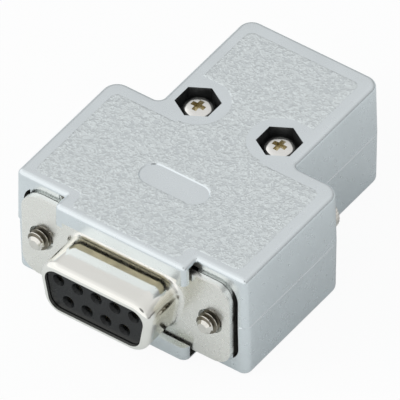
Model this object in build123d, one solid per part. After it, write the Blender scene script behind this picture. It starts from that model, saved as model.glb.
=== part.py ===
from build123d import *
import os
from math import cos, radians, tan

# A nine-way socket connector with a two-part die-cast metal hood.
# Lengths are millimetres. The origin is the middle of the front face of the
# connector's flange: +X to the right, -Y towards the mating plug, +Z up.

# Mating face: the row of contacts sets the shell, and the shell sets the flange
contact_pitch = 2.77
row_spacing = 2.84
top_row_contacts = 5
shell_end_margin = 2.625
shell_row_margin = 2.53
shell_corner_radius = 2.6
shell_side_angle = 10.0
shell_reach = 6.45
shell_to_jack_screw = 4.33
flange_end_margin = 2.91
flange_rim = 2.325
flange_corner_radius = 2.5
flange_hole_radius = 1.75

# Sheet metal of the two connector shells
front_flange_sheet = 0.8
rear_flange_sheet = 0.4
rear_flange_inset = 0.4
shell_sheet = 0.4
nose_radius = 0.9
base_fillet = 0.7
rear_box_step = 1.435
rear_box_rim = 0.875
rear_box_corner_radius = 3.0
rear_box_depth = 4.4

# Moulded insulators
insulator_play = 0.1
front_block_depth = 1.75
rear_block_depth = 3.6
tower_wall = 0.45
tower_height = 0.5
socket_mouth_radius = 0.85
socket_hole_radius = 0.6
socket_mouth_depth = 0.45

# Socket contacts
barrel_radius = 0.8
barrel_bore_radius = 0.52
barrel_bore_depth = 5.2
barrel_setback = 0.8
collar_spacing = 0.47
collar_length = 0.9
cup_wall = 0.28
cup_bore_radius = 0.72
cup_length = 3.0
cup_floor = 0.7
cup_window_length = 1.8
contact_play = 0.05

# Walls and room of the hood
side_wall = 1.255
roof_wall = 1.55
back_wall = 1.7
neck_back_wall = 1.6
flange_side_play = 0.44
flange_top_play = 0.175
flange_seat_play = 0.05
inner_corner_radius = 0.9
seat_rib = 1.2
seat_rib_gap = 0.9
rear_box_play = 0.35
hood_wing_front = 1.05
hood_back = 21.2
neck_length = 18.25
neck_to_jack_screw = 2.395

# Rounding and draft of the castings
draft_angle = 1.0
body_corner_radius = 2.2
neck_corner_radius = 2.0
root_fillet = 0.8
upper_front_radius = 0.8
lower_front_radius = 1.2
top_edge_radius = 0.7
bottom_edge_radius = 0.5
parting_chamfer = 0.1

# Raised fields that carry the leather grain
grain_step = 0.1
grain_side_inset = 1.9
grain_back_inset = 2.2
grain_wing_inset = 1.35
grain_lip_inset = 1.05
grain_corner_radius = 0.9
boss_radius = 4.05

# Lips that hold the flange from the front
lip_overhang = 1.635
lip_front = -1.3
lip_thickness = 1.0
lip_gap = 1.6
lip_tab_gap = 0.85
lip_tab_play = 0.3
slot_overrun = 0.8
slot_rise = 0.85

# Case screws and nuts
case_screw_inset = 4.065
case_screw_setback = 2.25
post_radius = 3.45
hex_pocket_flats = 5.0
hex_pocket_depth = 2.3
case_screw_radius = 1.25
case_screw_play = 0.15
case_head_radius = 2.0
case_head_height = 1.6
case_head_dome = 0.55
case_recess_span = 2.3
case_recess_width = 0.62
case_recess_depth = 0.9
nut_flats = 4.8
nut_height = 2.0
nut_screw_play = 0.04
screw_end_gap = 0.3

# Shallow oblong recess on the top
oblong_length = 9.8
oblong_width = 3.75
oblong_setback = 11.05
oblong_depth = 0.25

# Jack screws
jack_radius = 1.42
jack_tip = -1.6
jack_tip_chamfer = 0.3
jack_head_radius = 2.5
jack_head_length = 6.8
jack_head_reach = 2.5
jack_head_chamfer = 0.35
jack_slot_width = 1.0
jack_slot_depth = 1.3
jack_hole_play = 0.08
head_bore_play = 0.3
jack_travel = 3.5
travel_play = 0.4

# Retaining rings on the jack screws
ring_thickness = 0.5
ring_radius = 2.4
ring_gap_width = 1.9
ring_groove_radius = 1.0
ring_play = 0.05
ring_rest_gap = 0.3
bearing_wall = 1.5
jack_block_width = 6.9

# Cable inlet and clamp
inlet_step = 0.2
cradle_rib = 1.2
cradle_offset = 3.3
clamp_setback = 6.55
clamp_length = 3.4
clamp_sheet = 1.2
clamp_headroom = 0.95
clamp_side_play = 0.3
clamp_seat = -1.0
clamp_screw_offset = 2.3
clamp_screw_radius = 1.0
clamp_screw_length = 5.0
clamp_head_radius = 1.6
clamp_head_height = 1.3
clamp_head_dome = 0.45
clamp_recess_span = 1.85
clamp_recess_width = 0.5
clamp_recess_depth = 0.75
clamp_head_play = 0.15
clamp_post_radius = 1.9
clamp_hole_play = 0.06

# Sizes and places that follow from the ones above
shell_width = (top_row_contacts - 1) * contact_pitch + 2 * shell_end_margin
shell_height = row_spacing + 2 * shell_row_margin
jack_x = shell_width / 2 + shell_to_jack_screw
flange_width = 2 * (jack_x + flange_end_margin)
flange_height = shell_height + 2 * flange_rim
flange_back = front_flange_sheet + rear_flange_sheet
rear_box_width = shell_width + 2 * rear_box_step
rear_box_height = flange_height - 2 * rear_box_rim
seat_front = flange_back + flange_seat_play
seat_back = seat_front + seat_rib
inner_half_width = flange_width / 2 + flange_side_play
inner_half_height = flange_height / 2 + flange_top_play
hood_half_width = inner_half_width + side_wall
hood_half_height = inner_half_height + roof_wall
chamber_back = hood_back - back_wall
neck_half_width = jack_x - neck_to_jack_screw
neck_inner_half = neck_half_width - side_wall
neck_back = hood_back + neck_length
neck_chamber_back = neck_back - neck_back_wall
lip_half_width = shell_width / 2 + lip_overhang
lip_back = lip_front + lip_thickness
lip_edge = shell_height / 2 + lip_gap
lip_tab_edge = shell_height / 2 + lip_tab_gap
lip_tab_inner = shell_width / 2 + lip_tab_play
jack_head_back = hood_back + jack_head_reach
head_shoulder = jack_head_back - jack_head_length
bearing_back = head_shoulder - jack_travel - travel_play
bearing_front = bearing_back - bearing_wall
ring_back = bearing_front - ring_rest_gap
case_screw_x = neck_half_width - case_screw_inset
case_screw_y = hood_back + case_screw_setback
case_seat = hood_half_height - hex_pocket_depth
cradle_radius = inner_half_height - clamp_sheet - clamp_headroom
inlet_radius = cradle_radius + inlet_step
clamp_y = neck_back - clamp_setback
clamp_foot_top = clamp_seat + clamp_sheet
clamp_screw_x = cradle_radius + clamp_screw_offset
clamp_half_width = neck_inner_half - clamp_side_play
insulator_front = -shell_reach + shell_sheet + insulator_play
barrel_front = insulator_front + barrel_setback
block_split = front_flange_sheet + front_block_depth
block_back = block_split + rear_block_depth
collar_radius = (contact_pitch - collar_spacing) / 2
collar_front = block_split - collar_length / 2
collar_back = collar_front + collar_length
tower_radius = barrel_radius + contact_play + tower_wall
cup_radius = cup_bore_radius + cup_wall
cup_front = block_back + tower_height + contact_play
cup_back = cup_front + cup_length
beyond = 1.0
near = 0.001


def slab(sketch, front, back):
    """A sketch in X and Z, made solid from y = front to y = back."""
    plane = Plane(origin=(0, back, 0), x_dir=(1, 0, 0), z_dir=(0, -1, 0))
    return extrude(plane * sketch, back - front)


def rod(radius, front, back, x=0.0, z=0.0):
    """A round bar along Y."""
    return slab(Pos(x, z) * Circle(radius), front, back)


def post(radius, bottom, top, x, y):
    """A round bar along Z."""
    return extrude(Pos(x, y, bottom) * Circle(radius), top - bottom)


def block(x0, x1, y0, y1, z0, z1):
    """A plain box between two corners."""
    middle = ((x0 + x1) / 2, (y0 + y1) / 2, (z0 + z1) / 2)
    return Pos(*middle) * Box(x1 - x0, y1 - y0, z1 - z0)


def rectangle(x0, x1, y0, y1):
    """A rectangle between two corners."""
    return Pos((x0 + x1) / 2, (y0 + y1) / 2) * Rectangle(x1 - x0, y1 - y0)


def corners_at(sketch, half_width, y):
    """The corners of a sketch at plus and minus half_width, on the line y."""
    found = sketch.vertices()
    return [v for v in found if abs(abs(v.X) - half_width) < near and abs(v.Y - y) < near]


def d_face(width, height, corner):
    """The keyed outline: wide side up, both sides leaning in towards the bottom."""
    angle = radians(shell_side_angle)
    lean = tan(angle)
    top = width / 2 + corner * (lean + 1 / cos(angle) - 1)
    bottom = top - height * lean
    high = height / 2
    outline = Polygon((-bottom, -high), (bottom, -high), (top, high), (-top, high), align=None)
    return fillet(outline.vertices(), corner)


def d_slab(grow, front, back):
    """The connector shell's outline grown by some amount, made solid along Y."""
    face = d_face(shell_width + 2 * grow, shell_height + 2 * grow, shell_corner_radius + grow)
    return slab(face, front, back)


def rear_slab(grow, front, back):
    """The rear box's outline grown by some amount, made solid along Y."""
    face = d_face(rear_box_width + 2 * grow, rear_box_height + 2 * grow, rear_box_corner_radius + grow)
    return slab(face, front, back)


def front_edges(solid):
    """The edges of a solid's foremost flat face."""
    return solid.faces().sort_by(Axis.Y)[0].edges()


def flange_plate(inset, front, back):
    """One of the two flange sheets, with the holes for the jack screws."""
    face = RectangleRounded(flange_width - 2 * inset, flange_height - 2 * inset, flange_corner_radius - inset)
    plate = slab(face, front, back)
    for side in (-1, 1):
        plate -= rod(flange_hole_radius, front - beyond, back + beyond, side * jack_x)
    return plate


def make_front_shell():
    """Drawn sheet: a flange and a keyed tube whose nose curls in over the insulator."""
    tube = d_slab(0, -shell_reach, 0)
    tube = fillet(front_edges(tube), nose_radius)
    shell = flange_plate(0, 0, front_flange_sheet) + tube
    at_flange = [e for e in shell.edges() if all(abs(v.Y) < near for v in e.vertices())]
    base = [e for e in at_flange if abs((e @ 0.5).X) < shell_width / 2 + near]
    base = [e for e in base if abs((e @ 0.5).Z) < shell_height / 2 + near]
    shell = fillet(base, base_fillet)
    hollow = d_slab(-shell_sheet, -shell_reach + shell_sheet, front_flange_sheet + beyond)
    hollow = fillet(front_edges(hollow), nose_radius - shell_sheet)
    mouth = d_slab(-nose_radius, -shell_reach - beyond, 0)
    return shell - hollow - mouth


def make_rear_shell():
    """Drawn sheet: the second flange and the open box round the rear of the insulators."""
    shell = flange_plate(rear_flange_inset, front_flange_sheet, flange_back)
    shell += rear_slab(0, front_flange_sheet, flange_back + rear_box_depth)
    return shell - rear_slab(-shell_sheet, 0, flange_back + rear_box_depth + beyond)


def contact_places():
    """X and Z of every contact, the wide row first."""
    rows = ((top_row_contacts, row_spacing / 2), (top_row_contacts - 1, -row_spacing / 2))
    return [((i - (count - 1) / 2) * contact_pitch, z) for count, z in rows for i in range(count)]


def make_front_insulator():
    """Moulded front half: a nose inside the keyed tube and a wider block behind it."""
    nose = d_slab(-shell_sheet - insulator_play, insulator_front, front_flange_sheet)
    nose = fillet(front_edges(nose), nose_radius - shell_sheet)
    body = nose + rear_slab(-shell_sheet - insulator_play, front_flange_sheet, block_split)
    mouth_back = insulator_front + socket_mouth_depth
    for x, z in contact_places():
        plane = Plane(origin=(x, mouth_back, z), x_dir=(1, 0, 0), z_dir=(0, -1, 0))
        steps = plane * Circle(socket_hole_radius)
        mouth = loft([steps, plane.offset(socket_mouth_depth) * Circle(socket_mouth_radius)])
        body -= mouth
        body -= rod(socket_hole_radius, mouth_back - barrel_setback / 2, barrel_front, x, z)
        body -= rod(barrel_radius + contact_play, barrel_front - contact_play, block_split + beyond, x, z)
        body -= rod(collar_radius + contact_play, collar_front - contact_play, block_split + beyond, x, z)
    return body


def make_rear_insulator():
    """Moulded rear half: a block with a short round tower at every contact."""
    body = rear_slab(-shell_sheet - insulator_play, block_split, block_back)
    for x, z in contact_places():
        body += rod(tower_radius, block_back, block_back + tower_height, x, z)
    for x, z in contact_places():
        body -= rod(barrel_radius + contact_play, block_split - beyond, cup_front + beyond, x, z)
        body -= rod(collar_radius + contact_play, block_split - beyond, collar_back + contact_play, x, z)
    return body


def make_contact(x, z):
    """Turned socket contact: bored barrel, collar, stem and an open solder cup."""
    upright = 1 if z > 0 else -1
    contact = rod(barrel_radius, barrel_front, cup_front, x, z)
    contact += rod(collar_radius, collar_front, collar_back, x, z)
    contact += rod(cup_radius, cup_front, cup_back, x, z)
    contact -= rod(barrel_bore_radius, barrel_front - beyond, barrel_front + barrel_bore_depth, x, z)
    contact -= rod(cup_bore_radius, cup_front + cup_floor, cup_back + beyond, x, z)
    window_top = z + upright * (cup_radius + beyond)
    window = block(
        x - cup_radius, x + cup_radius, cup_back - cup_window_length, cup_back + beyond,
        min(z, window_top), max(z, window_top),
    )
    return contact - window


def hood_outline(front_radius):
    """The hood from above: wide body, neck behind it and the lip in front."""
    outline = rectangle(-hood_half_width, hood_half_width, hood_wing_front, hood_back)
    outline += rectangle(-neck_half_width, neck_half_width, hood_wing_front, neck_back)
    outline += rectangle(-lip_half_width, lip_half_width, lip_front, hood_back)
    outline = fillet(corners_at(outline, hood_half_width, hood_back), body_corner_radius)
    outline = fillet(corners_at(outline, neck_half_width, hood_back), root_fillet)
    outline = fillet(corners_at(outline, neck_half_width, neck_back), neck_corner_radius)
    outline = fillet(corners_at(outline, hood_half_width, hood_wing_front), front_radius)
    return fillet(corners_at(outline, lip_half_width, lip_front), front_radius)


def grain_field():
    """The grained field from above: inside the smooth border and clear of the screw bosses."""
    body_half = hood_half_width - grain_side_inset
    neck_half = neck_half_width - grain_side_inset
    lip_half = lip_half_width - grain_side_inset
    wing_front = hood_wing_front + grain_wing_inset
    body_back = hood_back - grain_back_inset
    field = rectangle(-body_half, body_half, wing_front, body_back)
    field += rectangle(-neck_half, neck_half, wing_front, neck_back - grain_back_inset)
    field += rectangle(-lip_half, lip_half, lip_front + grain_lip_inset, body_back)
    field = fillet(field.vertices(), grain_corner_radius)
    for side in (-1, 1):
        smooth = sorted((side * case_screw_x, side * neck_half_width))
        field -= rectangle(*smooth, body_back, case_screw_y + boss_radius)
        field -= Pos(side * case_screw_x, case_screw_y) * Circle(boss_radius)
    return field


def hood_blank(front_radius, edge_radius):
    """A solid half hood above the parting plane: drafted sides, rounded outer edge, raised grain field."""
    outline = hood_outline(front_radius)
    height = hood_half_height - grain_step - parting_chamfer
    blank = extrude(Pos(0, 0, parting_chamfer) * outline, height, taper=draft_angle)
    blank = fillet(blank.faces().sort_by(Axis.Z)[-1].edges(), edge_radius)
    blank += extrude(offset(outline, -parting_chamfer), parting_chamfer, taper=-45)
    return blank + extrude(Pos(0, 0, hood_half_height - grain_step) * grain_field(), grain_step)


def flange_mouth():
    """The opening for the flange, round at the corners, with the ribs that the flange rests on."""
    corner = flange_corner_radius + flange_top_play
    mouth = slab(RectangleRounded(2 * inner_half_width, 2 * inner_half_height, corner), lip_back, seat_back)
    for side in (-1, 1):
        ribs = sorted((side * (rear_box_width / 2 + rear_box_play), side * (inner_half_width - seat_rib_gap)))
        mouth -= block(*ribs, seat_front, seat_back, -inner_half_height, inner_half_height)
    return mouth & block(-inner_half_width, inner_half_width, lip_back, seat_back, 0, inner_half_height)


def hood_cavity(lip_end_edge):
    """The room inside a half hood, with its posts and screw blocks left standing."""
    chamber = rectangle(-inner_half_width, inner_half_width, seat_back, chamber_back)
    chamber += rectangle(-neck_inner_half, neck_inner_half, seat_back, neck_chamber_back)
    rear = corners_at(chamber, inner_half_width, chamber_back)
    rear += corners_at(chamber, neck_inner_half, neck_chamber_back)
    room = extrude(fillet(rear, inner_corner_radius), inner_half_height)
    for side in (-1, 1):
        blocks = sorted((side * (inner_half_width - jack_block_width), side * (inner_half_width + beyond)))
        room -= block(*blocks, bearing_front, chamber_back + beyond, 0, inner_half_height)
        room -= post(post_radius, 0, inner_half_height, side * case_screw_x, case_screw_y)
    room += flange_mouth()
    room += block(-hood_half_width, hood_half_width, lip_front - beyond, lip_back, 0, lip_end_edge)
    room += block(-lip_tab_inner, lip_tab_inner, lip_front - beyond, lip_back, 0, lip_edge)
    slot_half = lip_half_width + slot_overrun
    return room + block(-slot_half, slot_half, lip_back, seat_front, 0, inner_half_height + slot_rise)


def bores():
    """Holes shared by both halves: jack screws, their heads, case screws and the cable."""
    holes = rod(inlet_radius, neck_chamber_back - beyond, neck_back + beyond)
    for side in (-1, 1):
        x = side * jack_x
        holes += rod(jack_radius + jack_hole_play, lip_back, bearing_back + beyond, x)
        holes += rod(jack_head_radius + head_bore_play, bearing_back, jack_head_back + head_bore_play, x)
        clear = case_screw_radius + case_screw_play
        holes += post(clear, -hood_half_height, hood_half_height, side * case_screw_x, case_screw_y)
    return holes


def hex_pockets():
    """The six-sided pockets over the case screws, in the upper half."""
    across = RegularPolygon(hex_pocket_flats / 2, 6, major_radius=False, rotation=30)
    pockets = None
    for side in (-1, 1):
        place = Pos(side * case_screw_x, case_screw_y, case_seat)
        pocket = extrude(place * across, hex_pocket_depth + beyond)
        pockets = pocket if pockets is None else pockets + pocket
    return pockets


def make_upper_hood():
    """Die-cast upper half: tabs at the ends of its lip, an oblong recess in its top."""
    hood = hood_blank(upper_front_radius, top_edge_radius)
    hood -= hood_cavity(lip_tab_edge)
    hood -= bores()
    hood -= hex_pockets()
    place = Pos(0, hood_back - oblong_setback, hood_half_height - oblong_depth)
    return hood - extrude(place * SlotOverall(oblong_length, oblong_width), oblong_depth + beyond)


def cradle_ribs():
    """Two ribs across the lower half's neck, hollowed for the cable."""
    ribs = None
    for side in (-1, 1):
        middle = clamp_y + side * cradle_offset
        front = middle - cradle_rib / 2
        rib = block(-neck_inner_half, neck_inner_half, front, front + cradle_rib, -inner_half_height, 0)
        rib -= rod(cradle_radius, front - beyond, front + cradle_rib + beyond)
        ribs = rib if ribs is None else ribs + rib
    return ribs


def make_lower_hood():
    """Die-cast lower half, with the cable cradle and the clamp's two posts."""
    hood = hood_blank(lower_front_radius, bottom_edge_radius)
    hood -= hood_cavity(lip_edge)
    hood -= hex_pockets()
    hood = mirror(hood, about=Plane.XY)
    hood += cradle_ribs()
    for side in (-1, 1):
        x = side * clamp_screw_x
        hood += post(clamp_post_radius, -inner_half_height, clamp_seat, x, clamp_y)
    for side in (-1, 1):
        x = side * clamp_screw_x
        bottom = clamp_seat - clamp_screw_length - clamp_hole_play
        hood -= post(clamp_screw_radius + clamp_hole_play, bottom, clamp_seat + beyond, x, clamp_y)
    return hood - bores()


def pan_head(radius, height, dome, seat, x, y):
    """A pan head standing on z = seat, rounded above."""
    head = post(radius, seat, seat + height, x, y)
    return fillet(head.edges().sort_by(Axis.Z)[-1], dome)


def cross_recess(span, width, depth, top, x, y):
    """The cross that a screwdriver turns, sunk from z = top."""
    arm = block(x - span / 2, x + span / 2, y - width / 2, y + width / 2, top - depth, top + beyond)
    return arm + block(x - width / 2, x + width / 2, y - span / 2, y + span / 2, top - depth, top + beyond)


def make_case_screw(side):
    """Pan-head screw that holds the two halves of the hood together."""
    x = side * case_screw_x
    end = -case_seat - nut_height + screw_end_gap
    screw = post(case_screw_radius, end, case_seat, x, case_screw_y)
    screw += pan_head(case_head_radius, case_head_height, case_head_dome, case_seat, x, case_screw_y)
    top = case_seat + case_head_height
    cross = cross_recess(case_recess_span, case_recess_width, case_recess_depth, top, x, case_screw_y)
    return screw - cross


def make_case_nut(side):
    """Hexagon nut in the lower half's pocket."""
    x = side * case_screw_x
    top = -case_seat
    across = RegularPolygon(nut_flats / 2, 6, major_radius=False, rotation=30)
    nut = extrude(Pos(x, case_screw_y, top - nut_height) * across, nut_height)
    hole = case_screw_radius + nut_screw_play
    return nut - post(hole, top - nut_height - beyond, top + beyond, x, case_screw_y)


def make_jack_screw(side):
    """Captive jack screw: long shank with a ring groove and a slotted head behind the hood."""
    x = side * jack_x
    shank = rod(jack_radius, jack_tip, head_shoulder, x)
    shank = chamfer(front_edges(shank), jack_tip_chamfer)
    head = rod(jack_head_radius, head_shoulder, jack_head_back, x)
    ends = head.edges().filter_by(GeomType.CIRCLE)
    head = chamfer(ends, jack_head_chamfer)
    groove = rod(jack_radius + beyond, ring_back - ring_thickness - ring_play, ring_back + ring_play, x)
    groove -= rod(ring_groove_radius, bearing_front - bearing_wall, bearing_back, x)
    slot = block(
        x - jack_slot_width / 2, x + jack_slot_width / 2,
        jack_head_back - jack_slot_depth, jack_head_back + beyond,
        -jack_head_radius - beyond, jack_head_radius + beyond,
    )
    return shank + head - groove - slot


def make_retaining_ring(side):
    """Open spring-steel ring that snaps into the jack screw's groove."""
    x = side * jack_x
    ring = rod(ring_radius, ring_back - ring_thickness, ring_back, x)
    ring -= rod(ring_groove_radius + ring_play, ring_back - beyond, ring_back + beyond, x)
    half_gap = ring_gap_width / 2
    return ring - block(x - half_gap, x + half_gap, ring_back - beyond, ring_back + beyond, -ring_radius, 0)


def make_cable_clamp():
    """Saddle over the cable, with a foot on each post."""
    front = clamp_y - clamp_length / 2
    back = clamp_y + clamp_length / 2
    saddle = block(-clamp_half_width, clamp_half_width, front, back, clamp_seat, clamp_foot_top)
    arch = rod(cradle_radius + clamp_sheet, front, back)
    saddle += arch - block(
        -clamp_half_width, clamp_half_width, front - beyond, back + beyond, -inner_half_height, clamp_seat
    )
    saddle -= rod(cradle_radius, front - beyond, back + beyond)
    for side in (-1, 1):
        hole = clamp_screw_radius + clamp_hole_play
        saddle -= post(hole, clamp_seat - beyond, clamp_foot_top + beyond, side * clamp_screw_x, clamp_y)
        spot = clamp_head_radius + clamp_head_play
        saddle -= post(spot, clamp_foot_top, inner_half_height, side * clamp_screw_x, clamp_y)
    return saddle


def make_clamp_screw(side):
    """Small pan-head screw that draws the saddle down on the cable."""
    x = side * clamp_screw_x
    screw = post(clamp_screw_radius, clamp_seat - clamp_screw_length, clamp_foot_top, x, clamp_y)
    screw += pan_head(clamp_head_radius, clamp_head_height, clamp_head_dome, clamp_foot_top, x, clamp_y)
    top = clamp_foot_top + clamp_head_height
    cross = cross_recess(clamp_recess_span, clamp_recess_width, clamp_recess_depth, top, x, clamp_y)
    return screw - cross


def make_parts():
    """Every piece by the name of its node."""
    parts = {
        "front_shell": make_front_shell(),
        "rear_shell": make_rear_shell(),
        "front_insulator": make_front_insulator(),
        "rear_insulator": make_rear_insulator(),
        "upper_hood": make_upper_hood(),
        "lower_hood": make_lower_hood(),
        "cable_clamp": make_cable_clamp(),
    }
    for number, (x, z) in enumerate(contact_places(), start=1):
        parts[f"socket_contact_{number}"] = make_contact(x, z)
    for name, side in (("left", -1), ("right", 1)):
        parts[f"case_screw_{name}"] = make_case_screw(side)
        parts[f"case_nut_{name}"] = make_case_nut(side)
        parts[f"jack_screw_{name}"] = make_jack_screw(side)
        parts[f"retaining_ring_{name}"] = make_retaining_ring(side)
        parts[f"clamp_screw_{name}"] = make_clamp_screw(side)
    return parts


os.makedirs("parts", exist_ok=True)
for node, solid in make_parts().items():
    export_step(solid, f"parts/{node}.step")
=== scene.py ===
from collections import Counter
from math import atan2, cos, pi, radians, sin

import bpy
from mathutils import Matrix, Vector
from mathutils.kdtree import KDTree


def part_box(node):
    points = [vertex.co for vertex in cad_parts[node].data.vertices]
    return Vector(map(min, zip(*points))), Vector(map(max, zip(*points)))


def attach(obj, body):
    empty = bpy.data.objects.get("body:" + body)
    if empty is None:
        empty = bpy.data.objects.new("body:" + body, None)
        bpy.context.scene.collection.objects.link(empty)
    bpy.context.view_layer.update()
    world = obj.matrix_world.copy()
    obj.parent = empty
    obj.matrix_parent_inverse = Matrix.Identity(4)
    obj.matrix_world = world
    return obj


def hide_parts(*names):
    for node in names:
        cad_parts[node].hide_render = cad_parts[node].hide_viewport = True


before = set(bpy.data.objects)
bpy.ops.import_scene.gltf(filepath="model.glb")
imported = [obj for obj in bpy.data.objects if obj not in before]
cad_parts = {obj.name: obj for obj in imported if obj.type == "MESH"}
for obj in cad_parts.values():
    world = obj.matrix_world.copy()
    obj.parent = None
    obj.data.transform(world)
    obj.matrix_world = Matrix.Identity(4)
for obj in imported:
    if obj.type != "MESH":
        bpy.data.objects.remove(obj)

bl_info = {
    "name": "Metal-Hooded Socket Connector",
    "version": (1, 0, 0),
    "blender": (4, 5, 0),
    "location": "3D View > Sidebar > Connector",
    "description": "Dresses a nine-way socket connector in its die-cast hood and sets its stage",
    "category": "Object",
}

MM = 0.001
WELD = 0.001 * MM
SIDES = {"left": -1, "right": 1}


def millimetres(*values):
    """Lengths written in millimetres, as metres."""
    return tuple(value * MM for value in values)


def grey(level):
    """A grey as red, green, blue and alpha."""
    return (level, level, level, 1)


# Places that the frame gives
HOOD_LOW, HOOD_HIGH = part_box("upper_hood")
BASE_LOW, BASE_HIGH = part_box("lower_hood")
SCREW_LOW, SCREW_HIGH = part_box("jack_screw_right")
CASE_LOW, CASE_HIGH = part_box("case_screw_right")
RING_LOW, RING_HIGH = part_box("retaining_ring_right")
JACK_X = (SCREW_LOW.x + SCREW_HIGH.x) / 2
CASE_X = (CASE_LOW.x + CASE_HIGH.x) / 2
CASE_Y = (CASE_LOW.y + CASE_HIGH.y) / 2

# Rooms inside the hood, whose walls get a painted shade: half width, front, back, bottom and top
ROOMS = (
    millimetres(15.9, 1.3, 19.6, -6.5, 6.5),
    millimetres(8.9, 1.06, 37.9, -6.5, 6.5),
    millimetres(9.7, -0.31, 1.3, -7.35, 7.35),
)
# The lip's underside, which gets a painted warm shade: half width, front, back, bottom and top
LIP_UNDERSIDE = (millimetres(8.5, -1.29, -0.2, 5.5, 5.6),)
# The pocket walls that get a painted shade: how far from a screw's axis, and how far below the top
POCKET_RADIUS, POCKET_RIM = millimetres(3.0, 0.12)

# Least share of a normal along Z on a face that lies flat
FLAT = 0.9
# How far the crests of the grain stay under the castings' faces
SINK = 0.004 * MM
# Shares of a field's height: where its casting is cut, how far its rim falls, how deep its prism is
CUT_SHARE, RIM_SHARE, PRISM_SHARE = 0.95, 0.9, 3
# Size of the slab that the grain is cut from, for a hood of size 1
SLAB_SIZE = 1.1
# Largest angle between two faces that are shaded as one surface, in degrees
SMOOTH_FORMED, SMOOTH_GRAIN, SMOOTH_NUT, SMOOTH_JACK, SMOOTH_HEAD = 25, 40, 30, 28, 35

# The front shell's short sides: how far they lean in for each unit of height, and the places
# across, at the front and at the back between which their painted shade fades
SHELL_LEAN = 0.176
FLANK_ACROSS, FLANK_FRONT, FLANK_BACK = (
    millimetres(6.5, 7.2), millimetres(-5.4, -4.7), millimetres(-1.3, -0.8))
# From the tube to the flange: the places along Y and the roughness at them
DRAWN_ALONG, DRAWN_ROUGHNESS = millimetres(-1.0, -0.2), (0.10, 0.28)

# Colours painted as shade on the tube's flanks, inside the hood, under the lip, in the pockets
# and in the cross recesses, and the darker colour of the thread grooves
FLANK_SHADE_TIN = (0.62, 0.605, 0.52)
INNER_SHADE_ZINC, LIP_SHADE_ZINC = (0.22, 0.22, 0.205), (0.74, 0.69, 0.53)
POCKET_SHADE_ZINC = (0.075, 0.078, 0.078)
GROOVE_DARK, CROSS_SHADE = (0.22, 0.20, 0.16), (0.66, 0.60, 0.44)

# Levels of a noise that its pattern lies between, for a soft and for a crisper look
CLOUD, SPECKLE = (0.3, 0.7), (0.35, 0.65)

# Screws: (head radius, head height), shank radius and (span, width, depth) of the cross
CASE_SIZES = millimetres(2.0, 1.6), 1.25 * MM, millimetres(2.7, 0.78, 0.75)
CLAMP_SIZES = millimetres(1.6, 1.3), 1.0 * MM, millimetres(1.85, 0.5, 0.8)
# How far the two tapers of a cross narrow it, along and across its arm
CROSS_TAPER = (0.45, 0.7)
# A pan head's outline, as shares of its height and of its radius
PAN_DOME = (
    (0.0, 0.95), (0.06, 1.0), (0.58, 1.0), (0.75, 0.95),
    (0.87, 0.83), (0.95, 0.63), (0.99, 0.38), (1.0, 0.12),
)
# Case screws: thread depth for each unit of pitch, and the threaded share of the shank
CASE_THREAD_DEPTH, CASE_THREADED = 0.35, 0.45
# Rounded end of a case screw: the shares of its root radius at the tip and along the axis
CASE_TIP, CASE_TIP_LENGTH, CASE_THREAD_START = 0.8, 0.2, 0.1
RING_PLAY, RING_BORE = millimetres(0.05, 1.0)
NUT_BEVEL = 0.12 * MM
ROUND_SIDES, KNURL_SIDES = 48, 72
# A thread's tooth: its root width and its run-out for each unit of pitch, its crest width for
# each unit of root width, how deep it is sunk in the shank, and the steps of one turn
TOOTH_ROOT, TOOTH_RUNOUT, TOOTH_CREST = 0.86, 0.9, 0.14
TOOTH_SUNK = 0.15 * MM
TOOTH_STEPS = 36
# How far the tool for a screw's slot reaches past the head, for a head of size 1
SLOT_REACH = 1.2
# How far up its wall a thread's groove is coloured darker, as a share of its depth
GROOVE_DARK_SHARE = 0.3

# Camera: its sensor in millimetres, and the nearest and farthest place it sees in metres
SENSOR = 36
CLIP_START, CLIP_END = 0.01, 20

# The studio's grey by elevation, in degrees: behind the object and in front of it
BACK_WALL = (
    (-30, 0.27), (-8, 0.09), (3, 0.20), (10, 0.55),
    (17, 0.51), (24, 0.555), (36, 0.695), (60, 0.765),
)
FRONT_WALL = (
    (-30, 0.9), (-6, 1.02), (4, 1.06), (20, 1.03), (42, 1.09), (54, 0.94), (70, 0.84),
)
# The front's direction, and the cosines to it between which the walls blend
FRONT, FRONT_BLEND = (-0.45, -0.89, 0), (-0.25, 0.35)
# The camera's own dark shape: the angles at which it ends and is full, in degrees, and its grey
LENS_EDGE, LENS_FULL, LENS_GREY = 17, 11, 0.18

# Floor: its width, its colour, and its share of plain white for each kind of ray. The camera
# sees it white, and metal and gloss mirror it as the grey surface that they show in a studio.
FLOOR_SIZE = 1.2
FLOOR_COLOUR = (0.66, 0.685, 0.69, 1)
FLOOR_GLOW = {"Is Camera Ray": 0.94, "Is Glossy Ray": 0.07, "Is Transmission Ray": 0.07}

# The lamp: its place and what it faces in metres, its width, and its power in watts
KEY_PLACE, KEY_TARGET = (-0.36, -0.36, 0.32), (0, 0.014, 0)
KEY_SIZE, KEY_POWER = 0.4, 1.8


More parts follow.
